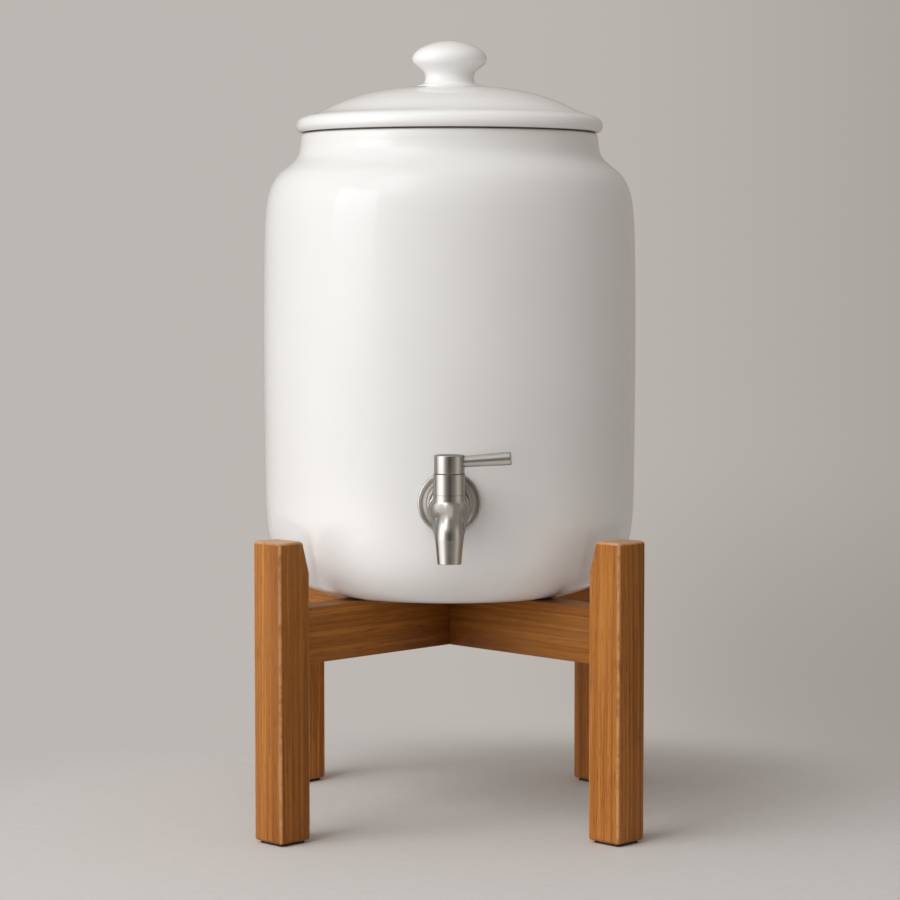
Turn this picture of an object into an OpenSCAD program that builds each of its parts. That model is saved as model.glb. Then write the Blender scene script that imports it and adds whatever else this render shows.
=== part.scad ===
// Glazed clay water pot with a lift-off lid and a quarter-turn tap, standing on
// a cross-rail wooden stand. Millimetres, +Z up. The tap points along -Y and its
// lever along +X. The origin is on the floor, below the middle of the whole
// object, so the axis of the pot lies axis_y behind it.

/* [Pot] */
// Outer radius of the pot at its widest
crock_r = 120; // [119.9:0.05:120.1]
// Height of the pot from its base to its rim
crock_h = 294; // [293.5:0.5:296]
// Radius of the hole that the tap goes through
tap_hole_r = 8.6; // [8.4:0.1:9.2]
// Height of the tap hole above the base of the pot
tap_hole_h = 66.5; // [66:0.5:68]

/* [Lid] */
// Radius of the ring under the lid that drops into the neck
lid_ring_r = 85.5; // [84.5:0.5:86.5]
// Depth of that ring below the seat of the lid
lid_ring_depth = 10; // [7:1:14]

/* [Stand] */
// Side of the square legs
leg_side = 25; // [24:0.5:27]
// Height of the top of the legs above the floor
leg_top = 187; // [182:1:189]
// Distance from the pot's axis to the middle of each leg
leg_r = 145.5; // [144.5:0.5:148]
// Depth of the slope cut on the inner face of each leg, at its top
leg_slope_d = 5.5; // [3:0.5:7]
// Height of that slope
leg_slope_h = 20; // [12:1:24]
// Radius of the legs' long edges
leg_edge_r = 2; // [1:0.5:3]
// Thickness of the cross rails
rail_w = 20; // [16:1:22]
// Height of the cross rails
rail_h = 35; // [30:1:40]
// Height of the top of the cross rails, where the pot stands
rail_top = 145.5; // [140:0.5:150]
// Thickness of the pads under the legs
pad_t = 1.5; // [1:0.5:3]
// Side of the square pads under the legs
pad_side = 20; // [16:1:22]
// Radius of the joint dowels
dowel_r = 4; // [3:0.5:5]
// Length of the joint dowels
dowel_l = 30; // [24:1:34]

/* [Tap] */
// Distance from the pot's axis to the vertical axis of the valve
valve_y = 150; // [149:0.5:151]
// Distance from the pot's axis to the vertical axis of the spout
spout_y = 163.6; // [163:0.1:166]
// Outer radius of the valve barrel
barrel_r = 9.5; // [9.4:0.1:10]
// Radius of the handle cap
cap_r = 9.1; // [8.5:0.1:9.2]
// Radius of the wall flange
flange_r = 19.3; // [18:0.1:21]
// Radius of the hub where it meets the flange
hub_r = 13.4; // [12.5:0.1:14.5]
// Outer radius of the spout where it leaves its bend
spout_r = 8.4; // [7.6:0.1:8.6]
// Outer radius of the spout at its mouth
mouth_r = 7.1; // [6.4:0.1:7.4]
// Radius of the threaded shank
shank_r = 8; // [7.8:0.1:8.1]
// Reach of the lever from the axis of the valve
lever_reach = 37; // [30:1:45]
// Rise of the lever, in degrees
lever_rise = 4; // [0:1:6]
// Gap between a turning piece and the piece that it turns in
run_fit = 0.05; // [0.03:0.01:0.1]

/* [Hidden] */
$fn = 96;
// the whole reaches spout_y + spout_r in front of the pot's axis and crock_r behind it
axis_y = (spout_y + spout_r - crock_r) / 2;
// height of the axis of the tap's shank above the floor
tap_z = rail_top + tap_hole_h;
lid_z = rail_top + crock_h;
rail_end = leg_r - leg_side / 2;
wood = [0.62, 0.40, 0.20];
glaze = [0.95, 0.95, 0.93];
steel = [0.68, 0.67, 0.65];
soft = [0.25, 0.25, 0.25];
resin = [0.93, 0.93, 0.90];

// heights of the valve's inner parts, above the axis of the shank
z_port = -2.5;       // cross bore of the plug
z_cavity = -10;      // bottom of the valve cavity
z_sleeve = 4;        // top of the sleeve
z_seal = 4.2;        // bottom of the sealing collar
z_stop = 9.6;        // bottom of the stop lug
z_stop_top = 11.6;   // top of the stop lug
z_gland = 12;        // underside of the gland nut
z_barrel = 19.9;     // top of the barrel
z_cap = 20.2;        // underside of the handle cap
z_cap_top = 31;      // top of the handle cap
cavity_r = 6.5;
plug_r = 5;
spindle_r = 3.5;
bend_r = spout_y - 151;
z_bend = -18;        // height of the centre of the spout's bend
z_mouth = -32.6;     // height of the spout's mouth
neck_dy = spout_y + 0.4 - (valve_y - 1);   // run of the neck from elbow to spout
neck_dz = 20.1;                            // and its drop

// a smooth curve through hand-chosen points, n steps from each to the next
function mix(a, b, c, d, t) = 0.5 * (2 * b + (c - a) * t
    + (2 * a - 5 * b + 4 * c - d) * t * t + (3 * b - a - 3 * c + d) * t * t * t);
function smooth(p, n = 3) = [
    for (i = [0 : len(p) - 2]) for (k = [0 : n - 1])
        mix(p[max(i - 1, 0)], p[i], p[i + 1], p[min(i + 2, len(p) - 1)], k / n),
    p[len(p) - 1]];

// outside of the pot as [radius, height above its base]
crock_out = [[79, 0], [84.5, 0.5], [92.5, 3], [101, 8], [108.8, 16], [114.3, 26],
    [117.3, 37], [118.7, 49], [119.3, 64.5], [119.7, 98.5], [120, 139.5], [120, 169.5],
    [119.8, 199.5], [119.4, 222.5], [118.8, 238], [117.5, 250.5], [114.6, 260.5],
    [110.2, 267.5], [104.6, 272.5], [99.9, 276.5], [97.2, 280.5], [96, 285.5],
    [95.7, 289.5], [95, 292.6], [93.6, 294]];
// inside of the pot, from its rim down to its floor
crock_in = [[89.5, 294], [88.1, 292.8], [87.5, 290], [87.5, 283], [88.2, 276],
    [90.4, 270.5], [94.6, 265.5], [100, 260.5], [105.2, 254], [108.8, 246],
    [110.6, 236], [111.4, 222], [112, 195], [112, 150], [111.8, 98], [111.4, 64],
    [110.6, 48], [108.6, 36], [104.5, 25.5], [98.5, 17], [90, 11.5], [80, 9.3], [70, 9]];
// outside of the lid, from its seat up to the foot of the knob
lid_out = [[94.4, 0], [95.8, 0.3], [97.4, 1.2], [98.4, 3], [98.5, 5.1], [97.7, 7.5],
    [95.7, 9.4], [93, 10.6], [90, 11.5], [87, 12.5], [83.5, 13.9], [80, 15.5],
    [76, 17.4], [70, 20], [60, 23.6], [50, 26.2], [40, 28], [30, 29], [22.5, 29.4]];
// the knob, from its foot to its crown
knob_out = [[21.2, 29.5], [20.8, 30.4], [19, 30.9], [17.3, 31.7], [16, 33.2], [15.6, 35.3],
    [15.9, 37.5], [17.3, 39.7], [20.1, 41.9], [23, 44.4], [24, 47.3], [23.2, 50.2],
    [20.7, 53], [16.6, 55.5], [12, 57.3], [7, 58.5], [0, 58.9]];
// underside of the lid, from its middle out to the ring
lid_in = [[0, 22.5], [20, 22.3], [38, 20.8], [54, 17.6], [67, 12.6], [75, 7.6],
    [79, 3], [80, -1]];

module pot_axis() { translate([0, axis_y, 0]) children(); }
// children drawn with the shank along +Z, its wall end at the pot's axis side
module tap_axis() { pot_axis() translate([0, 0, tap_z]) rotate([90, 0, 0]) children(); }
module valve_axis() { pot_axis() translate([0, -valve_y, tap_z]) children(); }

module round_square(s, r) {
    square([s, s - 2 * r], center = true);
    square([s - 2 * r, s], center = true);
    for (x = [-1, 1]) for (y = [-1, 1])
        translate([x * (s / 2 - r), y * (s / 2 - r)]) circle(r, $fn = 32);
}

// leg drawn with +X pointing away from the pot
module leg(angle) {
    h = leg_top - pad_t;
    c = 1.4;
    color(wood) pot_axis() rotate([0, 0, angle]) translate([leg_r, 0, 0]) difference() {
        translate([0, 0, pad_t]) linear_extrude(h) round_square(leg_side, leg_edge_r);
        // slope that clears the pot
        rotate([90, 0, 0]) translate([0, 0, -leg_side])
            linear_extrude(2 * leg_side) polygon([
                [-leg_side / 2 - 1, leg_top - leg_slope_h - leg_slope_h / leg_slope_d],
                [-leg_side / 2 + leg_slope_d, leg_top],
                [-leg_side / 2 + leg_slope_d, leg_top + 5],
                [-leg_side / 2 - 1, leg_top + 5]]);
        // small chamfers at the top and the foot
        for (a = [0 : 90 : 270]) rotate([0, 0, a]) {
            translate([leg_side / 2, 0, leg_top]) rotate([0, 45, 0])
                cube([c * sqrt(2), 2 * leg_side, c * sqrt(2)], center = true);
            translate([leg_side / 2, 0, pad_t]) rotate([0, 45, 0])
                cube([c * sqrt(2), 2 * leg_side, c * sqrt(2)], center = true);
        }
        translate([-leg_side / 2 + leg_slope_d, 0, leg_top]) rotate([0, 38, 0])
            cube([c * sqrt(2), 2 * leg_side, c * sqrt(2)], center = true);
        // dowel holes, one millimetre deeper than the dowels
        for (s = [-1, 1]) translate([-leg_side / 2 - 1, 0, rail_top - rail_h / 2 + s * rail_h / 4])
            rotate([0, 90, 0]) cylinder(r = dowel_r, h = dowel_l / 2);
    }
}

module leg_front_left() { leg(225); }
module leg_front_right() { leg(315); }
module leg_rear_left() { leg(135); }
module leg_rear_right() { leg(45); }

// one rail; lap = 1 takes the notch from the top, lap = -1 from the bottom
module rail(angle, lap) {
    e = 0.8;
    color(wood) pot_axis() rotate([0, 0, angle]) translate([0, 0, rail_top - rail_h / 2])
    difference() {
        // long edges eased by e
        rotate([90, 0, 90]) translate([0, 0, -rail_end]) linear_extrude(2 * rail_end)
            polygon([[-rail_w / 2 + e, -rail_h / 2], [rail_w / 2 - e, -rail_h / 2],
                [rail_w / 2, -rail_h / 2 + e], [rail_w / 2, rail_h / 2 - e],
                [rail_w / 2 - e, rail_h / 2], [-rail_w / 2 + e, rail_h / 2],
                [-rail_w / 2, rail_h / 2 - e], [-rail_w / 2, -rail_h / 2 + e]]);
        translate([-rail_w / 2, -rail_w, lap > 0 ? 0 : -rail_h / 2 - 1])
            cube([rail_w, 2 * rail_w, rail_h / 2 + 1]);
        for (m = [0, 1]) mirror([m, 0, 0]) for (s = [-1, 1])
            translate([rail_end - dowel_l / 2 - 1, 0, s * rail_h / 4])
                rotate([0, 90, 0]) cylinder(r = dowel_r, h = dowel_l);
    }
}
module cross_rail_lower() { rail(45, 1); }
module cross_rail_upper() { rail(135, -1); }

// two dowels in each of the four joints between rail and leg
module leg_dowels() {
    color([0.75, 0.58, 0.36]) pot_axis() for (a = [45 : 90 : 315]) for (s = [-1, 1])
        rotate([0, 0, a]) translate([rail_end - dowel_l / 2 - 0.5, 0,
            rail_top - rail_h / 2 + s * rail_h / 4])
        rotate([0, 90, 0]) cylinder(r = dowel_r, h = dowel_l - 1.5);
}

module foot_pads() {
    color(soft) pot_axis() for (a = [45 : 90 : 315]) rotate([0, 0, a])
        translate([leg_r, 0, 0]) linear_extrude(pad_t) round_square(pad_side, 2);
}

module crock() {
    outer = smooth(crock_out);
    inner = smooth(crock_in);
    // the base stands on a low ring and is hollowed 2 mm inside it
    foot = [[0, 9], [0, 2], [66, 2], [68.5, 1.2], [70, 0]];
    color(glaze) pot_axis() translate([0, 0, rail_top]) difference() {
        rotate_extrude() polygon(concat(foot,
            [for (p = outer) [p[0] * crock_r / 120, p[1] * crock_h / 294]],
            [for (p = inner) [p[0], p[1] * crock_h / 294]]));
        translate([0, -crock_r + 20, tap_hole_h]) rotate([90, 0, 0])
            cylinder(r = tap_hole_r, h = 40);
    }
}

module lid() {
    under = smooth(lid_in);
    ring = [[80, 1 - lid_ring_depth], [81, -lid_ring_depth],
        [lid_ring_r - 1, -lid_ring_depth], [lid_ring_r, 1 - lid_ring_depth], [lid_ring_r, 0]];
    color(glaze) pot_axis() translate([0, 0, lid_z]) rotate_extrude()
        polygon(concat(under, ring, smooth(lid_out), smooth(knob_out)));
}

module tap_body() {
    color(steel) difference() {
        union() {
            // shank through the wall, with a lead at its end
            tap_axis() translate([0, 0, 96]) cylinder(r = shank_r, h = 30);
            tap_axis() translate([0, 0, 95]) cylinder(r1 = shank_r - 1, r2 = shank_r, h = 1);
            // hub: a collar on the flange, then a cone to the valve
            tap_axis() translate([0, 0, 124.3]) cylinder(r = hub_r, h = 2.2);
            tap_axis() translate([0, 0, 126.5]) cylinder(r1 = hub_r, r2 = 12, h = valve_y - 127.5);
            tap_axis() translate([0, -3, valve_y - 1]) sphere(r = 12);
            // the elbow narrows into the spout
            tap_axis() translate([0, -3, valve_y - 1]) rotate([atan2(neck_dz, neck_dy), 0, 0])
                cylinder(r1 = 11.9, r2 = 7.7, h = norm([neck_dy, neck_dz]));
            // barrel
            valve_axis() cylinder(r = barrel_r, h = z_barrel);
            // bend of the spout, then its straight end
            pot_axis() translate([0, -spout_y + bend_r, tap_z + z_bend])
                rotate([90, 0, -90]) rotate_extrude(angle = 90) translate([bend_r, 0]) circle(spout_r);
            pot_axis() translate([0, -spout_y, tap_z + z_mouth])
                cylinder(r1 = mouth_r, r2 = spout_r, h = z_bend - z_mouth);
        }
        // inlet
        tap_axis() translate([0, 0, 90]) cylinder(r = 4, h = valve_y - 90);
        // outlet
        pot_axis() translate([0, -spout_y + bend_r, tap_z + z_bend])
            rotate([90, 0, -90]) rotate_extrude(angle = 90) translate([bend_r, 0]) circle(4.5);
        pot_axis() translate([0, -spout_y, tap_z + z_mouth - 1])
            cylinder(r = 4.5, h = z_bend - z_mouth + 1.01);
        pot_axis() translate([0, -spout_y, tap_z + z_mouth - 1])
            cylinder(r1 = 6.2, r2 = 4.5, h = 2.4);
        // valve cavity, travel of the stop lug and seat of the gland nut
        valve_axis() translate([0, 0, z_cavity]) cylinder(r = cavity_r, h = z_gland - z_cavity + 1);
        valve_axis() translate([0, 0, z_stop - 0.1]) rotate([0, 0, -106])
            rotate_extrude(angle = 122) translate([3, 0]) square([5, z_gland - z_stop + 0.1]);
        valve_axis() translate([0, 0, z_gland]) cylinder(r = 7.5, h = 20);
    }
}

module tap_flange() {
    color(steel) tap_axis() translate([0, 0, 121.3]) rotate_extrude()
        polygon([[shank_r, 0], [flange_r - 0.4, 0], [flange_r, 0.4], [flange_r, 1.7],
            [flange_r - 0.5, 2.6], [flange_r - 1.6, 3], [shank_r, 3]]);
}

// soft ring between the flange and the curved wall of the pot
module outer_washer() {
    color(resin) difference() {
        tap_axis() translate([0, 0, 112]) cylinder(r = 17.5, h = 9.3);
        tap_axis() translate([0, 0, 111]) cylinder(r = shank_r, h = 12);
        pot_axis() translate([0, 0, tap_z - 30]) cylinder(r = 119, h = 60, $fn = 720);
    }
}

// soft ring inside the pot, rounded to its wall
module inner_washer() {
    color(resin) difference() {
        intersection() {
            tap_axis() translate([0, 0, 107.5]) cylinder(r = 16, h = 6);
            pot_axis() translate([0, 0, tap_z - 30]) cylinder(r = 111.8, h = 60, $fn = 720);
        }
        tap_axis() translate([0, 0, 100]) cylinder(r = shank_r, h = 20);
    }
}

module steel_washer() {
    color(steel) tap_axis() translate([0, 0, 106.3]) difference() {
        cylinder(r = 15, h = 1.2);
        translate([0, 0, -1]) cylinder(r = shank_r, h = 4);
    }
}

module back_nut() {
    color(steel) tap_axis() translate([0, 0, 100.3]) difference() {
        intersection() {
            cylinder(r = 13.8, h = 6, $fn = 6);
            // eases the corners of the hexagon at its free end
            cylinder(r1 = 12.4, r2 = 18.4, h = 6);
        }
        translate([0, 0, -1]) cylinder(r = shank_r, h = 8);
    }
}

// liner in which the plug turns
module valve_sleeve() {
    color(resin) valve_axis() difference() {
        translate([0, 0, z_cavity]) cylinder(r = cavity_r, h = z_sleeve - z_cavity);
        translate([0, 0, z_cavity - 1]) cylinder(r = plug_r + run_fit, h = 30);
        translate([0, 20, z_port]) rotate([90, 0, 0]) cylinder(r = 4, h = 40);
    }
}

module gland_nut() {
    color(steel) valve_axis() translate([0, 0, z_gland]) difference() {
        cylinder(r = 7.5, h = 6);
        translate([0, 0, -1]) cylinder(r = spindle_r + run_fit, h = 10);
        // slots for the fitting key
        for (a = [0, 90]) rotate([0, 0, a + 45]) translate([-8, -1, 4.5]) cube([16, 2, 3]);
    }
}

// plug, sealing collar, stop lug and spindle in one turned piece
module valve_stem() {
    color(steel) valve_axis() difference() {
        union() {
            translate([0, 0, z_cavity + 0.3]) cylinder(r = plug_r, h = z_seal - z_cavity - 0.3);
            translate([0, 0, z_seal]) rotate_extrude() polygon([[0, 0], [6.3, 0], [6.3, 0.6],
                [4.8, 0.6], [4.8, 2.4], [6.3, 2.4], [6.3, 3.1], [4.8, 3.1], [4.8, 4.9],
                [6.3, 4.9], [6.3, z_stop_top - z_seal], [0, z_stop_top - z_seal]]);
            translate([0, 0, z_stop]) rotate([0, 0, -15]) rotate_extrude(angle = 30)
                translate([3, 0]) square([4.7, z_stop_top - z_stop]);
            translate([0, 0, z_stop_top]) cylinder(r = spindle_r, h = z_cap_top - 4 - z_stop_top);
        }
        // the port lies across the flow at rest
        translate([-20, 0, z_port]) rotate([0, 90, 0]) cylinder(r = 4, h = 40);
    }
}

module stem_o_rings() {
    color(soft) valve_axis() for (z = [1.5, 4]) translate([0, 0, z_seal + z])
        rotate_extrude() translate([5.62, 0]) circle(0.8, $fn = 32);
}

module handle_cap() {
    color(steel) valve_axis() difference() {
        translate([0, 0, z_cap]) rotate_extrude() polygon([[0, 0], [cap_r - 0.3, 0],
            [cap_r, 0.3], [cap_r, z_cap_top - z_cap - 0.4],
            [cap_r - 0.4, z_cap_top - z_cap], [0, z_cap_top - z_cap]]);
        // socket for the spindle
        translate([0, 0, z_cap - 1]) cylinder(r = spindle_r, h = z_cap_top - 4 - z_cap + 1);
        // seat of the lever
        lever_axis() translate([0, 0, 7.4]) cylinder(r = 3.3, h = 10);
        lever_axis() translate([0, 0, 4.4]) cylinder(r = 2, h = 10);
        // hole for the fixing screw
        translate([0, 0, z_cap + 3]) rotate([-90, 0, 0]) cylinder(r = 1.5, h = 20);
    }
}

// children drawn with the lever along +Z
module lever_axis() { translate([0, 0, 26.5]) rotate([0, 90 - lever_rise, 0]) children(); }

module lever() {
    color(steel) valve_axis() lever_axis() {
        translate([0, 0, 4.6]) cylinder(r = 2, h = 3);
        translate([0, 0, 7.4]) cylinder(r = 3.3, h = 1.8);
        translate([0, 0, 9.2]) cylinder(r1 = 3.3, r2 = 3.95, h = lever_reach - 9.6);
        translate([0, 0, lever_reach - 0.4]) cylinder(r1 = 3.95, r2 = 3.6, h = 0.4);
    }
}

// headless screw that clamps the cap on the spindle
module handle_screw() {
    color(steel) valve_axis() translate([0, 0, z_cap + 3]) rotate([-90, 0, 0]) difference() {
        translate([0, 0, spindle_r]) cylinder(r = 1.5, h = 4.4);
        translate([0, 0, spindle_r + 2.9]) cylinder(r = 0.85, h = 3, $fn = 6);
    }
}

leg_front_left();
leg_front_right();
leg_rear_left();
leg_rear_right();
cross_rail_lower();
cross_rail_upper();
leg_dowels();
foot_pads();
crock();
lid();
tap_body();
tap_flange();
outer_washer();
inner_washer();
steel_washer();
back_nut();
valve_sleeve();
gland_nut();
valve_stem();
stem_o_rings();
handle_cap();
lever();
handle_screw();
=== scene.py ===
import math

import bmesh
import bpy
import numpy as np
from mathutils import Matrix, Vector


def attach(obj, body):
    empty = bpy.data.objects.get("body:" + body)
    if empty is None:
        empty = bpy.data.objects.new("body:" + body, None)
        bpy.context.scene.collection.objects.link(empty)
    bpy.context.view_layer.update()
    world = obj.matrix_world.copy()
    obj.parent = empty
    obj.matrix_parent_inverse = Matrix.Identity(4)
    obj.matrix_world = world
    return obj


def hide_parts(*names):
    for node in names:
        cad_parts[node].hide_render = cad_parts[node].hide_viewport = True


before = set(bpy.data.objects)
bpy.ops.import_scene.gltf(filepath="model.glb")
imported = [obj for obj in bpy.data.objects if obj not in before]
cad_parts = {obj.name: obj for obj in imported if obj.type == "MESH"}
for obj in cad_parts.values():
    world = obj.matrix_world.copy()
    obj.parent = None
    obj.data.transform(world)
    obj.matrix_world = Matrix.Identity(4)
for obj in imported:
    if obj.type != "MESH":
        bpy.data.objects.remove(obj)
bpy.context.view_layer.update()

MM = 0.001
AXIS_Y = 26.0       # the pot's axis, behind the origin
RAIL_TOP = 145.5
TAP_Z = 212.0
LID_Z = 439.5


# ---------------------------------------------------------------- meshes

def smooth(points, n=8):
    """A Catmull-Rom curve through given points, n steps from each to the next."""
    p = np.array(points, float)
    out = []
    for i in range(len(p) - 1):
        a, b, c, d = p[max(i - 1, 0)], p[i], p[i + 1], p[min(i + 2, len(p) - 1)]
        for k in range(n):
            t = k / n
            out.append(0.5 * (2 * b + (c - a) * t + (2 * a - 5 * b + 4 * c - d) * t * t
                              + (3 * b - a - 3 * c + d) * t ** 3))
    out.append(p[-1])
    return [tuple(v) for v in out]


def arc(cx, cy, r, a0, a1, n=5):
    """Points on an arc in the profile plane, angles in degrees."""
    return [(cx + r * math.cos(math.radians(a0 + (a1 - a0) * k / n)),
             cy + r * math.sin(math.radians(a0 + (a1 - a0) * k / n))) for k in range(n + 1)]


def put(name, verts, faces, material, smooth_angle=None, attributes=None):
    """A mesh object with its points given in millimetres."""
    mesh = bpy.data.meshes.new(name)
    mesh.from_pydata([tuple(c * MM for c in v) for v in verts], [], faces)
    mesh.update()
    for key, values in (attributes or {}).items():
        mesh.attributes.new(key, "FLOAT", "POINT").data.foreach_set(
            "value", np.array(values, np.float32))
    mesh.materials.append(material)
    obj = bpy.data.objects.new(name, mesh)
    bpy.context.scene.collection.objects.link(obj)
    finish_shading(obj, smooth_angle)
    return obj


def finish_shading(obj, smooth_angle=None):
    mesh = obj.data
    mesh.polygons.foreach_set("use_smooth", [True] * len(mesh.polygons))
    if smooth_angle is not None:
        mesh.set_sharp_from_angle(angle=math.radians(smooth_angle))
    mesh.update()


def lathe(profile, segments=128, mask=None):
    """Turns a profile of (radius, height) round +Z. Points on the axis become one vertex.
    mask is a value for each profile point, carried to its ring."""
    verts, faces, rings, values = [], [], [], []
    for i, (r, z) in enumerate(profile):
        m = 0.0 if mask is None else mask[i]
        if r < 1e-6:
            rings.append([len(verts)])
            verts.append((0.0, 0.0, z))
            values.append(m)
        else:
            rings.append(list(range(len(verts), len(verts) + segments)))
            for k in range(segments):
                a = 2 * math.pi * k / segments
                verts.append((r * math.cos(a), r * math.sin(a), z))
                values.append(m)
    for lo, hi in zip(rings[:-1], rings[1:]):
        if len(lo) == 1 and len(hi) == 1:
            continue
        for k in range(segments):
            j = (k + 1) % segments
            if len(lo) == 1:
                faces.append((lo[0], hi[j], hi[k]))
            elif len(hi) == 1:
                faces.append((lo[k], lo[j], hi[0]))
            else:
                faces.append((lo[k], lo[j], hi[j], hi[k]))
    return verts, faces, values


def moved(verts, matrix):
    return [tuple(matrix @ Vector(v)) for v in verts]


def applied(obj):
    """Applies the object's modifiers to its mesh."""
    dg = bpy.context.evaluated_depsgraph_get()
    bpy.context.view_layer.update()
    mesh = bpy.data.meshes.new_from_object(obj.evaluated_get(dg))
    old = obj.data
    obj.modifiers.clear()
    obj.data = mesh
    bpy.data.meshes.remove(old)
    return obj


def consistent(obj):
    """Faces turned outwards."""
    bm = bmesh.new()
    bm.from_mesh(obj.data)
    bmesh.ops.recalc_face_normals(bm, faces=bm.faces)
    bm.to_mesh(obj.data)
    bm.free()
    return obj


# placements, in millimetres
POT = Matrix.Translation((0, AXIS_Y, 0))
# along +Z of its own: away from the pot's axis through the wall, towards -Y; its +Y is up
TAP = POT @ Matrix.Translation((0, 0, TAP_Z)) @ Matrix.Rotation(math.radians(90), 4, "X")
VALVE = POT @ Matrix.Translation((0, -150, TAP_Z))
LEVER = VALVE @ Matrix.Translation((0, 0, 26.5)) @ Matrix.Rotation(math.radians(86), 4, "Y")


# ------------------------------------------------------------- materials

class Tree:
    """A material's node tree, built by short calls."""

    def __init__(self, name):
        self.mat = bpy.data.materials.new(name)
        self.mat.use_nodes = True
        self.nodes = self.mat.node_tree.nodes
        self.links = self.mat.node_tree.links
        self.nodes.clear()
        self.out = self.nodes.new("ShaderNodeOutputMaterial")

    def add(self, kind, **inputs):
        node = self.nodes.new("ShaderNode" + kind)
        for key, value in inputs.items():
            self.set(node, key, value)
        return node

    def set(self, node, key, value):
        key = key.replace("_", " ") if isinstance(key, str) else key
        socket = node.inputs[key]
        if isinstance(value, bpy.types.NodeSocket):
            self.links.new(value, socket)
        elif isinstance(value, bpy.types.Node):
            self.links.new(value.outputs[0], socket)
        else:
            socket.default_value = value

    def math(self, op, a, b=None, c=None, clamp=False):
        node = self.nodes.new("ShaderNodeMath")
        node.operation = op
        node.use_clamp = clamp
        for i, v in enumerate((a, b, c)):
            if v is not None:
                self.set(node, i, v)
        return node.outputs[0]

    def coords(self, kind="Object"):
        return self.nodes.new("ShaderNodeTexCoord").outputs[kind]

    def mapping(self, vector, location=(0, 0, 0), rotation=(0, 0, 0), scale=(1, 1, 1)):
        node = self.nodes.new("ShaderNodeMapping")
        self.links.new(vector, node.inputs["Vector"])
        node.inputs["Location"].default_value = location
        node.inputs["Rotation"].default_value = rotation
        node.inputs["Scale"].default_value = scale
        return node.outputs[0]

    def noise(self, vector, scale=1.0, detail=2.0, rough=0.5, distortion=0.0, lacunarity=2.0):
        node = self.nodes.new("ShaderNodeTexNoise")
        self.links.new(vector, node.inputs["Vector"])
        node.inputs["Scale"].default_value = scale
        node.inputs["Detail"].default_value = detail
        node.inputs["Roughness"].default_value = rough
        node.inputs["Lacunarity"].default_value = lacunarity
        node.inputs["Distortion"].default_value = distortion
        return node.outputs["Fac"]

    def ramp(self, value, stops, interpolation="LINEAR"):
        node = self.nodes.new("ShaderNodeValToRGB")
        node.color_ramp.interpolation = interpolation
        while len(node.color_ramp.elements) < len(stops):
            node.color_ramp.elements.new(0.5)
        for e, (at, colour) in zip(node.color_ramp.elements, stops):
            e.position = at
            e.color = (*colour, 1) if isinstance(colour, tuple) else (colour,) * 3 + (1,)
        self.links.new(value, node.inputs[0])
        return node.outputs[0]

    def range(self, value, a, b, c=0.0, d=1.0):
        node = self.nodes.new("ShaderNodeMapRange")
        node.interpolation_type = "SMOOTHSTEP"
        self.links.new(value, node.inputs["Value"])
        for key, v in (("From Min", a), ("From Max", b), ("To Min", c), ("To Max", d)):
            node.inputs[key].default_value = v
        return node.outputs[0]

    def mix(self, factor, a, b, kind="MIX"):
        node = self.nodes.new("ShaderNodeMix")
        node.data_type = "RGBA"
        node.blend_type = kind
        node.clamp_factor = True
        for i, v in ((0, factor), (6, a), (7, b)):
            if isinstance(v, bpy.types.NodeSocket):
                self.links.new(v, node.inputs[i])
            else:
                node.inputs[i].default_value = v if i == 0 else (*v, 1)
        return node.outputs[2]

    def bump(self, height, distance, strength=1.0, normal=None):
        node = self.nodes.new("ShaderNodeBump")
        node.inputs["Strength"].default_value = strength
        node.inputs["Distance"].default_value = distance
        self.links.new(height, node.inputs["Height"])
        if normal is not None:
            self.links.new(normal, node.inputs["Normal"])
        return node.outputs[0]

    def attribute(self, name):
        node = self.nodes.new("ShaderNodeAttribute")
        node.attribute_name = name
        return node.outputs["Fac"]

    def principled(self, **inputs):
        node = self.add("BsdfPrincipled", **inputs)
        self.links.new(node.outputs[0], self.out.inputs["Surface"])
        return node


def glaze():
    """Satin white glaze over a pale clay body. bare = 1 where the glaze was wiped off before firing,
    thin = 1 where it runs thin over an edge, seam = 1 where painted shade darkens the joint of lid and lip."""
    t = Tree("white_glaze")
    p = t.coords()
    cloud = t.noise(p, 11, 3, 0.55)
    tone = t.mix(t.range(cloud, 0.3, 0.7), (0.862, 0.858, 0.850), (0.885, 0.882, 0.876))
    speck = t.range(t.noise(t.mapping(p, (3.1, 0.4, 7.7)), 620, 1, 0.5), 0.79, 0.83)
    tone = t.mix(t.math("MULTIPLY", speck, 0.22), tone, (0.42, 0.34, 0.25))
    tone = t.mix(t.math("MULTIPLY", t.attribute("thin"), 0.45), tone, (0.70, 0.62, 0.52))
    grit = t.noise(p, 1500, 3, 0.7)
    clay = t.mix(t.range(grit, 0.35, 0.65), (0.55, 0.44, 0.33), (0.68, 0.57, 0.45))
    bare = t.attribute("bare")
    colour = t.mix(bare, tone, clay)
    # painted shade: a dark brown line in the joint of lid and lip
    colour = t.mix(t.attribute("painted_seam_shade"), colour, (0.22, 0.18, 0.135))
    rough = t.math("ADD", t.range(t.noise(p, 46, 3, 0.6), 0.3, 0.7, 0.035, 0.065),
                   t.math("MULTIPLY", bare, 0.55))
    wave = t.noise(t.mapping(p, (0, 0, 0), (0, 0, 0), (1, 1, 2.2)), 24, 2, 0.5)
    n = t.bump(wave, 0.00017, 1.0)
    n = t.bump(t.noise(p, 170, 2, 0.5), 0.000035, 1.0, n)
    n = t.bump(t.math("MULTIPLY", grit, bare), 0.0001, 1.0, n)
    t.principled(Base_Color=colour, Roughness=rough, Normal=n, IOR=1.52)
    return t.mat


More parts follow.
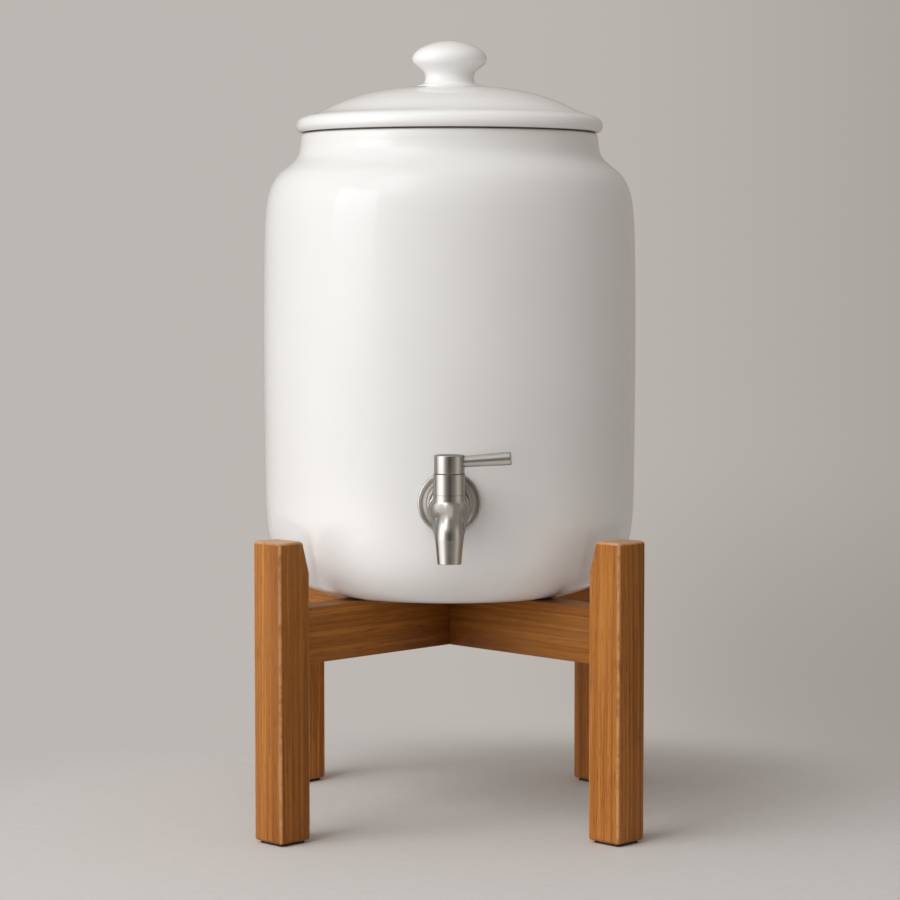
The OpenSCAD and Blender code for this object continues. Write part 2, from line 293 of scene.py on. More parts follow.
def wood(name, seed, pith, tone=1.0, painted_light_side=(0, 0), painted_edge_highlight=None, painted_mid_shade=1.0):
    """Oiled hardwood with the grain along local +Z. pith is where the heart of the tree lies,
    in metres, seen from the centre of the piece. sap points to the side painted paler as painted light, the far side
    darker as painted shade.
    worn gives the half sizes and top of a piece whose rounded edges and top get painted highlights; middle is the
    tone at mid-length, painted shade."""
    t = Tree(name)
    p = t.mapping(t.coords(), (seed * 0.37, seed * 0.21, seed * 0.73))
    o = t.coords()
    # slow wander of the rings along the piece
    wander = t.noise(t.mapping(p, (0, 0, 0), (0, 0, 0), (9, 9, 2.6)), 1, 2, 0.5)
    wander2 = t.noise(t.mapping(p, (4, 1, 2), (0, 0, 0), (60, 60, 7)), 1, 2, 0.5)
    sep = t.add("SeparateXYZ", Vector=o)
    dx = t.math("SUBTRACT", sep.outputs[0], pith[0])
    dy = t.math("SUBTRACT", sep.outputs[1], pith[1])
    r = t.math("SQRT", t.math("ADD", t.math("MULTIPLY", dx, dx), t.math("MULTIPLY", dy, dy)))
    r = t.math("ADD", r, t.math("MULTIPLY", wander, 0.010))
    r = t.math("ADD", r, t.math("MULTIPLY", wander2, 0.0016))
    # rings of uneven width
    comb = t.add("CombineXYZ", X=t.math("MULTIPLY", r, 1.0), Y=seed * 1.7, Z=0.0)
    ring = t.noise(comb.outputs[0], 420, 3, 0.62)
    ring = t.range(ring, 0.30, 0.70)
    fibre = t.noise(t.mapping(p, (0, 0, 0), (0, 0, 0), (2600, 2600, 46)), 1, 3, 0.6)
    streak = t.noise(t.mapping(p, (2, 5, 1), (0, 0, 0), (640, 640, 9)), 1, 2, 0.5)
    pore = t.range(t.noise(t.mapping(p, (7, 3, 9), (0, 0, 0), (1900, 1900, 70)), 1, 1, 0.5), 0.615, 0.68)
    light = (0.600 * tone, 0.236 * tone, 0.046 * tone)
    mid = (0.490 * tone, 0.172 * tone, 0.029 * tone)
    dark = (0.320 * tone, 0.102 * tone, 0.015 * tone)
    colour = t.ramp(ring, [(0.0, light), (0.45, mid), (1.0, dark)])
    colour = t.mix(t.math("MULTIPLY", t.range(streak, 0.42, 0.66), 0.62), colour,
                   (0.275 * tone, 0.086 * tone, 0.012 * tone))
    colour = t.mix(t.math("MULTIPLY", t.range(fibre, 0.40, 0.65), 0.30), colour,
                   (0.180 * tone, 0.056 * tone, 0.008 * tone))
    colour = t.mix(t.math("MULTIPLY", pore, 0.55), colour, (0.095, 0.034, 0.011))
    blotch = t.noise(t.mapping(p, (1, 8, 3), (0, 0, 0), (26, 26, 5)), 1, 2, 0.5)
    colour = t.mix(t.range(blotch, 0.3, 0.7, 0.0, 0.22), colour, (0.66 * tone, 0.29 * tone, 0.070 * tone))
    # painted light and shade: paler towards one side of the section and darker towards the other, as if lit from that
    # side
    if painted_light_side != (0, 0):
        pale = t.math("ADD", t.math("MULTIPLY", sep.outputs[0], painted_light_side[0] * 9.0), t.math("MULTIPLY", sep.outputs[1], painted_light_side[1] * 9.0))
        pale = t.math("ADD", pale, 1.0)
        tint = t.add("CombineXYZ", X=pale, Y=pale, Z=pale)
        colour = t.mix(1.0, colour, tint.outputs[0], "MULTIPLY")
    # painted shade: the piece darkens towards mid-length, where the pot hangs over it
    if painted_mid_shade != 1.0:
        along = t.range(t.math("ABSOLUTE", sep.outputs[2]), 0.0, 0.085, painted_mid_shade, 1.0)
        tint = t.add("CombineXYZ", X=along, Y=t.math("POWER", along, 1.25), Z=t.math("POWER", along, 1.6))
        colour = t.mix(1.0, colour, tint.outputs[0], "MULTIPLY")
    # painted highlights: the rounded long edges are painted paler where they would catch the light
    if painted_edge_highlight:
        ex = t.math("SUBTRACT", t.math("ABSOLUTE", sep.outputs[0]), painted_edge_highlight[0])
        ey = t.math("SUBTRACT", t.math("ABSOLUTE", sep.outputs[1]), painted_edge_highlight[0])
        ez = t.math("SUBTRACT", sep.outputs[2], painted_edge_highlight[1])
        edge = t.math("MAXIMUM", t.math("MINIMUM", ex, ey),
                      t.math("MAXIMUM", t.math("MINIMUM", ex, ez), t.math("MINIMUM", ey, ez)))
        edge_highlight_mask = t.math("MULTIPLY", t.range(edge, -0.0019, -0.0010), t.range(t.noise(p, 160, 2, 0.6), 0.30, 0.62, 0.35, 1.0))
        colour = t.mix(t.math("MULTIPLY", edge_highlight_mask, 0.60), colour, (0.84 * tone, 0.49 * tone, 0.25 * tone))
        # painted highlight: a pale sheen on the top face and the top of its edges
        colour = t.mix(t.range(sep.outputs[2], painted_edge_highlight[1] - 0.0009, painted_edge_highlight[1] - 0.0002, 0.0, 0.42), colour, (0.80, 0.56, 0.40))
    rough = t.math("ADD", t.range(fibre, 0.3, 0.7, 0.36, 0.46), t.math("MULTIPLY", pore, 0.15))
    n = t.bump(t.math("SUBTRACT", 1.0, pore), 0.00006)
    n = t.bump(fibre, 0.00003, 1.0, n)
    n = t.bump(ring, 0.00003, 1.0, n)
    b = t.principled(Base_Color=colour, Roughness=rough, Normal=n, IOR=1.46)
    b.inputs["Specular IOR Level"].default_value = 0.22
    return t.mat


def steel(name, way="Z", rough=0.20, tone=1.0, fine=1.0, centre=None, lean=(0, 0, 0.02), stretch=0.0, groove_shade_z=None):
    """Satin stainless steel with turning marks round the axis way, or a fine all-over satin.
    stretch draws the highlights out across the marks: away from centre, plus lean.
    groove_shade_z is the height of a dark line painted round the barrel, painted shade where a turned groove would
    be."""
    t = Tree(name)
    p = t.coords()
    long_, across = 30 * fine, 9000 * fine
    scale = {"X": (across, long_, long_), "Y": (long_, across, long_), "Z": (long_, long_, across),
             "ALL": (1400 * fine,) * 3}[way]
    line = t.noise(t.mapping(p, (0, 0, 0), (0, 0, 0), scale), 1, 2, 0.6)
    soft = t.noise(p, 70, 2, 0.5)
    smear = t.noise(t.mapping(p, (5, 2, 8)), 30, 2, 0.5)
    base = t.mix(t.range(line, 0.3, 0.7), (0.685 * tone, 0.660 * tone, 0.625 * tone),
                 (0.725 * tone, 0.702 * tone, 0.670 * tone))
    base = t.mix(t.range(smear, 0.40, 0.72, 0.0, 0.15), base, (0.61 * tone, 0.58 * tone, 0.54 * tone))
    r = t.math("ADD", t.range(line, 0.25, 0.75, rough - 0.02, rough + 0.02),
               t.range(soft, 0.3, 0.7, -0.02, 0.02))
    n = t.bump(line, 0.0000012)
    n = t.bump(soft, 0.000010, 1.0, n)
    # painted shade: a thin dark ring in the colour stands in for the shade of a turned groove
    if groove_shade_z is not None:
        sep = t.add("SeparateXYZ", Vector=p)
        off = t.math("ABSOLUTE", t.math("SUBTRACT", sep.outputs[2], groove_shade_z))
        bx, by = sep.outputs[0], t.math("ADD", sep.outputs[1], 0.124)
        out = t.math("SQRT", t.math("ADD", t.math("MULTIPLY", bx, bx), t.math("MULTIPLY", by, by)))
        groove_shade = t.math("MULTIPLY", t.range(off, 0.00042, 0.00012), t.range(out, 0.0101, 0.0098))
        base = t.mix(t.math("MULTIPLY", groove_shade, 0.40), base, (0.30 * tone, 0.275 * tone, 0.25 * tone))
    b = t.principled(Base_Color=base, Metallic=1.0, Roughness=r, Normal=n)
    # steel loses some of its shine at grazing angles
    b.inputs["Specular Tint"].default_value = (0.26, 0.27, 0.29, 1)
    if stretch:
        b.inputs["Anisotropic"].default_value = stretch
        keep = [0.0 if axis in way else 1.0 for axis in "XYZ"]
        away = t.add("VectorMath")
        away.operation = "SUBTRACT"
        t.links.new(p, away.inputs[0])
        away.inputs[1].default_value = centre
        flat = t.add("VectorMath")
        flat.operation = "MULTIPLY_ADD"
        t.links.new(away.outputs[0], flat.inputs[0])
        flat.inputs[1].default_value = keep
        flat.inputs[2].default_value = lean
        t.links.new(flat.outputs[0], b.inputs["Tangent"])
    return t.mat


def dull(name, colour, other, rough, grain=700, height=0.00004, ior=1.45):
    """Rubber, silicone and resin: a faint mottle over a fine matt grain."""
    t = Tree(name)
    p = t.coords()
    grainy = t.noise(p, grain, 3, 0.6)
    c = t.mix(t.range(t.noise(p, 60, 3, 0.6), 0.3, 0.7), colour, other)
    r = t.range(grainy, 0.3, 0.7, rough - 0.06, rough + 0.06)
    t.principled(Base_Color=c, Roughness=r, Normal=t.bump(grainy, height), IOR=ior)
    return t.mat


M_GLAZE = glaze()
M_RUBBER = dull("foot_rubber", (0.018, 0.017, 0.016), (0.030, 0.028, 0.026), 0.62)
M_SEAL = dull("seal_rubber", (0.020, 0.020, 0.021), (0.030, 0.030, 0.031), 0.45)
M_SILICONE = dull("silicone", (0.66, 0.65, 0.62), (0.72, 0.71, 0.68), 0.42)
M_RESIN = dull("valve_resin", (0.74, 0.73, 0.70), (0.80, 0.79, 0.77), 0.38)
M_STEEL_BODY = steel("tap_steel_body", "Z", 0.20, centre=(0, -0.131, 0.2), lean=(0, 0, 0.02), stretch=0.6, groove_shade_z=0.2194)
M_STEEL_TURNED_Z = steel("tap_steel_cap", "Z", 0.21, centre=(0, -0.124, 0.23), lean=(0, 0, 0.01), stretch=0.6)
M_STEEL_TURNED_Y = steel("tap_steel_flange", "Y", 0.25, centre=(0, -0.096, 0.212), lean=(0, 0.004, 0), stretch=0.45)
M_STEEL_LEVER = steel("tap_steel_lever", "X", 0.31, centre=(0.02, -0.124, 0.24), lean=(1, 0, 0.07), stretch=0.85)
M_STEEL_INNER = steel("tap_steel_inner", "ALL", 0.27, 0.95)
M_DOWEL = wood("dowel_wood", 9, (0.05, 0.02), 1.15)

# --------------------------------------------------------------- the pot

# outside of the pot as (radius, height above its base)
CROCK_OUT = [(79, 0), (84.5, 0.5), (92.5, 3), (101, 8), (108.8, 16), (114.3, 26),
             (117.3, 37), (118.7, 49), (119.3, 64.5), (119.7, 98.5), (120, 139.5), (120, 169.5),
             (119.8, 199.5), (119.4, 222.5), (118.8, 238), (117.5, 250.5), (114.6, 260.5),
             (110.2, 267.5), (104.6, 272.5), (99.9, 276.5), (97.2, 280.5), (96, 285.5),
             (95.7, 289.5), (95, 292.6), (93.6, 294)]
CROCK_IN = [(89.5, 294), (88.1, 292.8), (87.5, 290), (87.5, 283), (88.2, 276),
            (90.4, 270.5), (94.6, 265.5), (100, 260.5), (105.2, 254), (108.8, 246),
            (110.6, 236), (111.4, 222), (112, 195), (112, 150), (111.8, 98), (111.4, 64),
            (110.6, 48), (108.6, 36), (104.5, 25.5), (98.5, 17), (90, 11.5), (80, 9.3), (70, 9)]


def make_pot():
    foot = [(0, 2), (30, 2), (60, 2), (66, 2), (68.2, 1.5), (69.4, 0.5), (70.2, 0.05), (72, 0), (76, 0)]
    outer = smooth(CROCK_OUT, 8)
    inner = smooth(CROCK_IN, 6)
    floor = [(60, 9), (40, 9), (20, 9), (0, 9)]
    profile = foot + outer + [(92.2, 294.0), (90.8, 294.0)] + inner + floor
    bare, thin, painted_seam_shade = [], [], []
    for i, (r, z) in enumerate(profile):
        # painted shade: a dark line along the top of the lip, where the lid sits
        painted_seam_shade.append(1.0 if z > 293.35 and 92.0 < r < 95.5 else 0.0)
        on_foot = i < len(foot) + 2 and 66.5 < r < 84
        bare.append(1.0 if on_foot and z < 0.9 else 0.0)
        top = abs(z - 294) < 1.2 and 89 < r < 94.8
        thin.append(0.7 if top else (0.6 if on_foot else 0.0))
    v, f, b = lathe(profile, 320, bare)
    _, _, th = lathe(profile, 320, thin)
    _, _, se = lathe(profile, 320, painted_seam_shade)
    v = moved(v, POT @ Matrix.Translation((0, 0, RAIL_TOP)))
    pot = put("glazed_pot", v, f, M_GLAZE, None, {"bare": b, "thin": th, "painted_seam_shade": se})
    consistent(pot)
    # the tap's hole through the wall
    cv, cf, _ = lathe([(0, 100), (8.6, 100), (8.6, 126), (0, 126)], 96)
    cutter = put("hole", moved(cv, TAP), cf, M_GLAZE)
    consistent(cutter)
    cut = pot.modifiers.new("hole", "BOOLEAN")
    cut.operation, cut.solver, cut.object = "DIFFERENCE", "EXACT", cutter
    applied(pot)
    bpy.data.objects.remove(cutter)
    finish_shading(pot, 42)
    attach(pot, "crock")
    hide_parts("crock")
    return pot


LID_OUT = [(94.4, 0), (95.8, 0.3), (97.4, 1.2), (98.4, 3), (98.5, 5.1), (97.7, 7.5),
           (95.7, 9.4), (93, 10.6), (90, 11.5), (87, 12.5), (83.5, 13.9), (80, 15.5),
           (76, 17.4), (70, 20), (60, 23.6), (50, 26.2), (40, 28), (30, 29), (22.5, 29.4)]
KNOB_OUT = [(21.2, 29.5), (20.8, 30.4), (19, 30.9), (17.3, 31.7), (16, 33.2), (15.6, 35.3),
            (15.9, 37.5), (17.3, 39.7), (20.1, 41.9), (23, 44.4), (24, 47.3), (23.2, 50.2),
            (20.7, 53), (16.6, 55.5), (12, 57.3), (7, 58.5), (0, 58.9)]
LID_IN = [(0, 22.5), (20, 22.3), (38, 20.8), (54, 17.6), (67, 12.6), (75, 7.6), (79, 3), (80, -1)]


def make_lid():
    under = smooth(LID_IN, 6)
    ring = ([(80, -6), (80, -8.6)] + arc(81.4, -8.6, 1.4, 180, 270) + [(83.0, -10)]
            + arc(84.1, -8.6, 1.4, 270, 360) + [(85.5, -6), (85.5, -1.0)]
            + arc(86.3, -0.8, 0.8, 180, 90, 3) + [(88.5, 0), (91.5, 0)])
    profile = under + ring + smooth(LID_OUT, 8) + smooth(KNOB_OUT, 8)
    n0, n1 = len(under), len(under) + len(ring)
    bare, thin, painted_seam_shade = [], [], []
    for i, (r, z) in enumerate(profile):
        # painted shade: a dark line along the lid's rim, where it meets the lip
        painted_seam_shade.append(1.0 if 91.0 < r < 96.2 and abs(z) < 0.45 else 0.0)
        bottom = n0 <= i < n1 and z < -8.9
        seat = n0 <= i and 86.4 < r < 94 and abs(z) < 0.1
        bare.append(1.0 if bottom or seat else 0.0)
        thin.append(0.6 if n0 <= i < n1 and not (bottom or seat) and z < -7.5 else 0.0)
    v, f, b = lathe(profile, 256, bare)
    _, _, th = lathe(profile, 256, thin)
    _, _, se = lathe(profile, 256, painted_seam_shade)
    v = moved(v, POT @ Matrix.Translation((0, 0, LID_Z)))
    lid = put("glazed_lid", v, f, M_GLAZE, None, {"bare": b, "thin": th, "painted_seam_shade": se})
    consistent(lid)
    finish_shading(lid, 50)
    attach(lid, "lid")
    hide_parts("lid")
    return lid


make_pot()
make_lid()

# ------------------------------------------------------------- the stand


def extruded(profile, y0, y1, steps=1):
    """A prism: profile is a closed list of (x, z), pushed from y0 to y1."""
    n = len(profile)
    verts = [(x, y, z) for y in (y0, y1) for x, z in profile]
    faces = [tuple(range(n))[::-1], tuple(range(n, 2 * n))]
    faces += [(i, (i + 1) % n, n + (i + 1) % n, n + i) for i in range(n)]
    return verts, faces


def rounded(obj, radius, segments=4):
    """Rounds every edge sharper than 20 degrees."""
    m = obj.modifiers.new("edges", "BEVEL")
    m.width = radius * MM
    m.segments = segments
    m.limit_method = "ANGLE"
    m.angle_limit = math.radians(8)
    m.use_clamp_overlap = True
    m.harden_normals = True
    applied(obj)
    return obj


def make_leg(name, angle, seed, pith, tone, painted_light_side=(0, 0)):
    z0, z1 = 1.5, 187.0
    profile = [(-12.5, z0), (12.5, z0), (12.5, z1), (-7.0, z1), (-12.5, z1 - 20)]
    v, f = extruded(profile, -12.5, 12.5)
    # each leg's rounded edges and top get painted highlights
    leg = put("wood_" + name, v, f, wood("stand_wood_" + name, seed, pith, tone, painted_light_side, (0.0125, 0.187)))
    consistent(leg)
    rounded(leg, 2.2, 5)
    leg.matrix_world = (Matrix.Translation((0, AXIS_Y * MM, 0)) @ Matrix.Rotation(math.radians(angle), 4, "Z")
                        @ Matrix.Translation((145.5 * MM, 0, 0)))
    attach(leg, "stand")
    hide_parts(name)
    return leg


def make_rail(name, angle, notch, seed, pith, tone):
    """A rail along its own +Z, its height along +X, with the half lap cut from the top or the bottom."""
    h, e, w = 17.5, 133.0, 10.0
    if notch > 0:
        profile = [(-h, -e), (h, -e), (h, -w), (0, -w), (0, w), (h, w), (h, e), (-h, e)]
    else:
        profile = [(-h, -e), (h, -e), (h, e), (-h, e), (-h, w), (0, w), (0, -w), (-h, -w)]
    v, f = extruded(profile, -10.0, 10.0)
    # painted shade: the rail is darkest at mid-length, under the pot
    rail = put("wood_" + name, v, f, wood("stand_wood_" + name, seed, pith, tone, painted_mid_shade=0.50))
    consistent(rail)
    rounded(rail, 0.8, 3)
    # local +Z to the rail's length, local +X up
    place = Matrix(((0, 0, 1, 0), (0, -1, 0, 0), (1, 0, 0, 0), (0, 0, 0, 1)))
    rail.matrix_world = (Matrix.Translation((0, AXIS_Y * MM, (RAIL_TOP - h) * MM))
                         @ Matrix.Rotation(math.radians(angle), 4, "Z") @ place)
    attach(rail, "stand")
    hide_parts(name)
    return rail


# painted light and shade on the front legs: the last pair makes each leg paler on its left side and darker on its
# right
make_leg("leg_front_left", 225, 1.0, (0.09, 0.04), 0.90, (1, -1))
make_leg("leg_front_right", 315, 2.3, (-0.05, 0.10), 0.97, (-1, -1))
make_leg("leg_rear_left", 135, 3.7, (0.03, -0.09), 0.98)
make_leg("leg_rear_right", 45, 5.1, (-0.08, -0.05), 1.02)
# the rails' low tone is partly their own and partly painted shade, as if in the shade of the pot
make_rail("cross_rail_lower", 45, 1, 6.4, (0.02, 0.07), 0.76)
make_rail("cross_rail_upper", 135, -1, 7.9, (-0.03, 0.08), 0.80)

# --------------------------------------------------------------- the tap
# Distances from solids, in millimetres: x right, a away from the pot's axis, z up from the shank.


def cyl_a(x, a, z, r, a0, a1, edge=0.0):
    d1 = np.sqrt(x * x + z * z) - (r - edge)
    d2 = np.maximum(a0 + edge - a, a - a1 + edge)
    return np.minimum(np.maximum(d1, d2), 0) + np.hypot(np.maximum(d1, 0), np.maximum(d2, 0)) - edge


def cyl_z(x, a, z, ca, r, z0, z1, edge=0.0):
    d1 = np.hypot(x, a - ca) - (r - edge)
    d2 = np.maximum(z0 + edge - z, z - z1 + edge)
    return np.minimum(np.maximum(d1, d2), 0) + np.hypot(np.maximum(d1, 0), np.maximum(d2, 0)) - edge


def blend_in(d1, d2, k):
    h = np.clip(0.5 + 0.5 * (d2 - d1) / k, 0, 1)
    return d2 * (1 - h) + d1 * h - k * h * (1 - h)


def cut_out(d1, d2, k):
    """d1 without d2, with an edge rounded by k."""
    return -blend_in(-d1, d2, k)


def tap_shape(x, a, z):
    rad = np.sqrt(x * x + z * z)
    # hub: collar, groove, cone
    collar = cyl_a(x, a, z, 12.3, 122.0, 127.0, 0.3)
    slope = (13.1 - 12.0) / 23.0
    cone_r = 12.55 - (a - 126.0) * slope * 0.5
    cone = np.maximum(rad - cone_r, np.maximum(124.0 - a, a - 149.0)) * 0.98
    hub = blend_in(collar, cone, 0.5)
    elbow = np.sqrt(x * x + (a - 149) ** 2 + (z + 3.0) ** 2) - 12.0
    body = blend_in(hub, elbow, 1.6)
    # the elbow narrows into the spout
    run, drop = 15.0, 20.1
    reach = math.hypot(run, drop)
    s = np.clip(((a - 149) * run - (z + 3.0) * drop) / reach, 0, reach)
    off = np.sqrt(x * x + (a - 149 - s * run / reach) ** 2 + (z + 3.0 + s * drop / reach) ** 2)
    neck = (off - (12.0 - s * 0.190)) * 0.98
    body = blend_in(body, neck, 1.2)
    barrel = cyl_z(x, a, z, 150, 9.5, -4.0, 19.9, 0.22)
    body = blend_in(body, barrel, 0.7)
    # bend of the spout: a quarter of a ring about (151, -18), radius 12.6
    da, dz = a - 151.0, z + 18.0
    q = np.hypot(da, dz)
    ang = np.degrees(np.arctan2(dz, da))
    ring = np.hypot(q - 12.6, x) - 8.4
    bend = np.where(ang <= 90, ring, np.sqrt((a - 151.0) ** 2 + (z + 5.4) ** 2 + x * x) - 8.4)
    bend = np.where(z < -18.0, np.hypot(np.hypot(x, a - 163.6) - 4.2, z + 18.0) - 4.2, bend)
    r_sp = 7.1 + (z + 32.6) * (1.3 / 14.6)
    tube = np.maximum((np.hypot(x, a - 163.6) - r_sp) * 0.995, np.maximum(-32.6 - z, z + 17.5))
    spout = np.minimum(bend, tube)
    # a crisp crease beside the spout, a soft saddle above it
    soft = 0.15 + 0.6 * np.clip((z + 17.0) / 8.0, 0, 1) + 2.2 * np.clip((z + 7.5) / 6.0, 0, 1)
    body = blend_in(body, spout, soft)
    # rounded lip and bore of the mouth
    body = np.maximum(body, -32.6 - z)
    bore = np.hypot(x, a - 163.6) - 4.5
    bore = np.maximum(bore, z + 18.0)
    flare = (np.hypot(x, a - 163.6) - (6.2 - (z + 32.6) * 0.9)) * 0.75
    flare = np.maximum(flare, z + 30.0)
    inner = np.where((ang >= 0) & (ang <= 90), np.hypot(q - 12.6, x) - 4.5, 50.0)
    bore = np.minimum(np.minimum(bore, flare), inner)
    body = cut_out(body, bore, 0.35)
    # seat of the gland nut, valve cavity and the arc in which the stop lug travels
    body = cut_out(body, cyl_z(x, a, z, 150, 7.5, 12.0, 30.0), 0.25)
    body = cut_out(body, cyl_z(x, a, z, 150, 6.5, -10.0, 14.0), 0.2)
    th = np.degrees(np.arctan2(-(a - 150.0), x))
    rr = np.hypot(x, a - 150.0)
    slot = np.maximum(np.maximum(rr - 8.0, np.maximum(9.5 - z, z - 12.1)),
                      np.where((th > -106) & (th < 16), -5.0, 0.6))
    body = np.maximum(body, -slot)
    inlet = cyl_a(x, a, z, 4.0, 110.0, 149.0)
    body = np.maximum(body, -inlet)
    return body


def net(shape, lo, hi, step, passes=4):
    """A mesh of the surface where shape is 0: surface nets on a grid, then each point is drawn onto the surface."""
    n = [int(math.ceil((b - a) / step)) + 1 for a, b in zip(lo, hi)]
    axes = [lo[i] + step * np.arange(n[i]) for i in range(3)]
    gx, gy, gz = np.meshgrid(*axes, indexing="ij")
    d = shape(gx, gy, gz)
    inside = d < 0
    corner = [(i, j, k) for i in (0, 1) for j in (0, 1) for k in (0, 1)]

    def at(field, c):
        return field[c[0]:n[0] - 1 + c[0], c[1]:n[1] - 1 + c[1], c[2]:n[2] - 1 + c[2]]

    count = sum(at(inside, c).astype(np.int8) for c in corner)
    cells = np.argwhere((count > 0) & (count < 8))
    index = -np.ones((n[0] - 1, n[1] - 1, n[2] - 1), np.int64)
    index[tuple(cells.T)] = np.arange(len(cells))
    total = np.zeros((len(cells), 3))
    hits = np.zeros(len(cells))
    for axis in range(3):
        for c in corner:
            if c[axis]:
                continue
            e = list(c)
            e[axis] = 1
            p, q = cells + np.array(c), cells + np.array(e)
            dp, dq = d[tuple(p.T)], d[tuple(q.T)]
            cross = (dp < 0) != (dq < 0)
            t = np.where(cross, dp / np.where(cross, dp - dq, 1), 0)
            total[cross] += (p + t[:, None] * (q - p))[cross]
            hits[cross] += 1
    verts = np.array(lo) + step * total / hits[:, None]
    h = step * 0.2
    for _ in range(passes):
        x, y, z = verts.T
        f = shape(x, y, z)
        g = np.stack([shape(x + h, y, z) - shape(x - h, y, z),
                      shape(x, y + h, z) - shape(x, y - h, z),
                      shape(x, y, z + h) - shape(x, y, z - h)], 1) / (2 * h)
        size = np.maximum((g * g).sum(1), 0.25)
        move = -(f / size)[:, None] * g
        length = np.linalg.norm(move, axis=1)
        move *= np.minimum(1, 0.35 * step / np.maximum(length, 1e-9))[:, None]
        verts = verts + move
    faces = []
    for axis in range(3):
        u, v = (axis + 1) % 3, (axis + 2) % 3
        sl0 = [slice(None)] * 3
        sl1 = [slice(None)] * 3
        sl0[axis], sl1[axis] = slice(0, n[axis] - 1), slice(1, n[axis])
        a, b = inside[tuple(sl0)], inside[tuple(sl1)]
        where = np.argwhere(a != b)
        where = where[(where[:, u] > 0) & (where[:, v] > 0) & (where[:, u] < n[u] - 1) & (where[:, v] < n[v] - 1)]
        flip = a[tuple(where.T)]
        eu, ev = np.zeros(3, int), np.zeros(3, int)
        eu[u], ev[v] = 1, 1
        quad = np.stack([index[tuple(where.T)], index[tuple((where - eu).T)],
                         index[tuple((where - eu - ev).T)], index[tuple((where - ev).T)]], 1)
        quad[~flip] = quad[~flip][:, ::-1]
        faces.append(quad)
    faces = np.concatenate(faces)
    faces = faces[(faces >= 0).all(1)]
    return verts, [tuple(int(i) for i in q) for q in faces]


def thread(a0, a1, r, depth, pitch, bore, segments=72):
    """A threaded tube along the shank, closed at its ends."""
    steps = 10
    rows = int((a1 - a0) / pitch * steps)
    verts, faces = [], []
    for i in range(rows + 1):
        a = a0 + (a1 - a0) * i / rows
        lead = min(1.0, (a - a0) / (pitch * 1.2))
        for k in range(segments):
            th = 2 * math.pi * k / segments
            s = ((a / pitch) - k / segments) % 1.0
            wave = abs(s * 2 - 1)
            wave = min(1.0, max(0.0, (wave - 0.12) / 0.76))
            rad = r - depth * (1 - wave * lead)
            verts.append((rad * math.cos(th), rad * math.sin(th), a))
    for i in range(rows):
        for k in range(segments):
            j = (k + 1) % segments
            p = i * segments
            faces.append((p + k, p + j, p + segments + j, p + segments + k))
    base = len(verts)
    for a in (a0, a1):
        for k in range(segments):
            th = 2 * math.pi * k / segments
            verts.append((bore * math.cos(th), bore * math.sin(th), a))
    last = rows * segments
    for k in range(segments):
        j = (k + 1) % segments
        faces.append((base + k, base + j, j, k))
        faces.append((base + segments + j, base + segments + k, last + k, last + j))
        faces.append((base + k, base + segments + k, base + segments + j, base + j))
    return verts, faces


